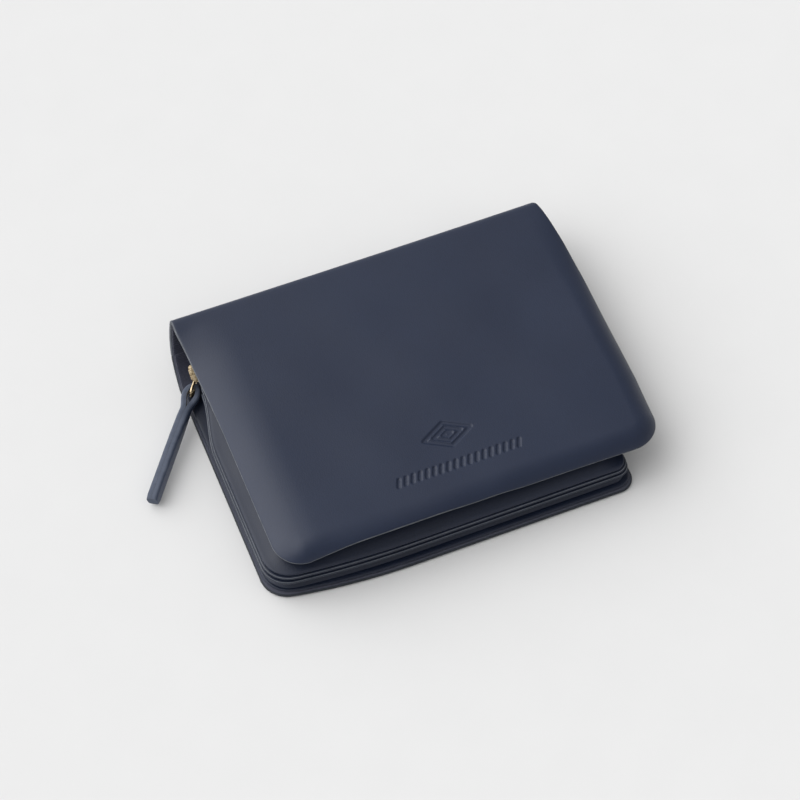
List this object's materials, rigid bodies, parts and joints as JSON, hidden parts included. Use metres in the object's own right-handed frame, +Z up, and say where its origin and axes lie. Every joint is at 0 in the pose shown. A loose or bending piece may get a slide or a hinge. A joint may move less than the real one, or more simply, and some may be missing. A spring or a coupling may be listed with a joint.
{
  "type": "flap wallet",
  "caption": "Compact leather flap wallet with a note pocket, a zipped coin pouch, card slots in the front cover and a leather zip pull.",
  "frame": {"origin": "on the surface the closed wallet lies on, under the middle of the back panel's width", "axes": "+X along the spine, towards the closed end of the zip's travel; +Y towards the spine; +Z up, out of the front cover"},
  "size_m": [0.1455, 0.096, 0.018],
  "materials": {
    "cover_leather": "smooth matt calf leather, fine grain",
    "pocket_leather": "smooth matt leather",
    "pull_leather": "smooth leather with painted edges",
    "lining": "thin lining leather",
    "padding": "soft filler felt",
    "zip_tape": "woven zip tape",
    "brass": "pale polished brass"
  },
  "bodies": {
    "back": {"back_cover": "cover_leather", "back_lining": "lining", "note_gusset": "pocket_leather", "note_panel": "pocket_leather", "pouch_rear_wall": "pocket_leather", "pouch_divider": "lining", "pouch_front_wall": "pocket_leather", "zip_tape_front": "zip_tape", "zip_tape_rear": "zip_tape", "zip_teeth_front": "brass", "zip_teeth_rear": "brass", "zip_bottom_stop": "brass"},
    "spine": {"spine_cover": "cover_leather", "spine_lining": "lining"},
    "front": {"front_cover": "cover_leather", "front_padding": "padding", "front_lining": "lining", "card_slot_1": "pocket_leather", "card_slot_2": "pocket_leather", "card_slot_3": "pocket_leather"},
    "slider": {"zip_slider": "brass"},
    "ring": {"pull_ring": "brass"},
    "pull": {"pull_strap": "pull_leather"}
  },
  "joints": [
    {"name": "spine_fold", "type": "hinge", "parent": "back", "child": "spine", "pos_m": [0, 0.0328, 0.0006], "axis": [-1, 0, 0], "range_deg": [0, 21]},
    {"name": "front_fold", "type": "hinge", "parent": "spine", "child": "front", "pos_m": [0, 0.0466, 0.0164], "axis": [-1, 0, 0], "range_deg": [0, 164]},
    {"name": "zip_travel", "type": "slide", "parent": "back", "child": "slider", "axis": [1, 0, 0], "range_m": [0, 0.088], "deforming": ["zip_teeth_front", "zip_teeth_rear", "pull_strap"]},
    {"name": "ring_swing", "type": "hinge", "parent": "slider", "child": "ring", "pos_m": [-0.053, 0.0336, 0.0051], "axis": [0, 0, -1], "range_deg": [0, 50]},
    {"name": "pull_swing", "type": "hinge", "parent": "ring", "child": "pull", "pos_m": [-0.05745, 0.02746, 0.00468], "axis": [0, 0, -1], "range_deg": [0, 60]}
  ]
}
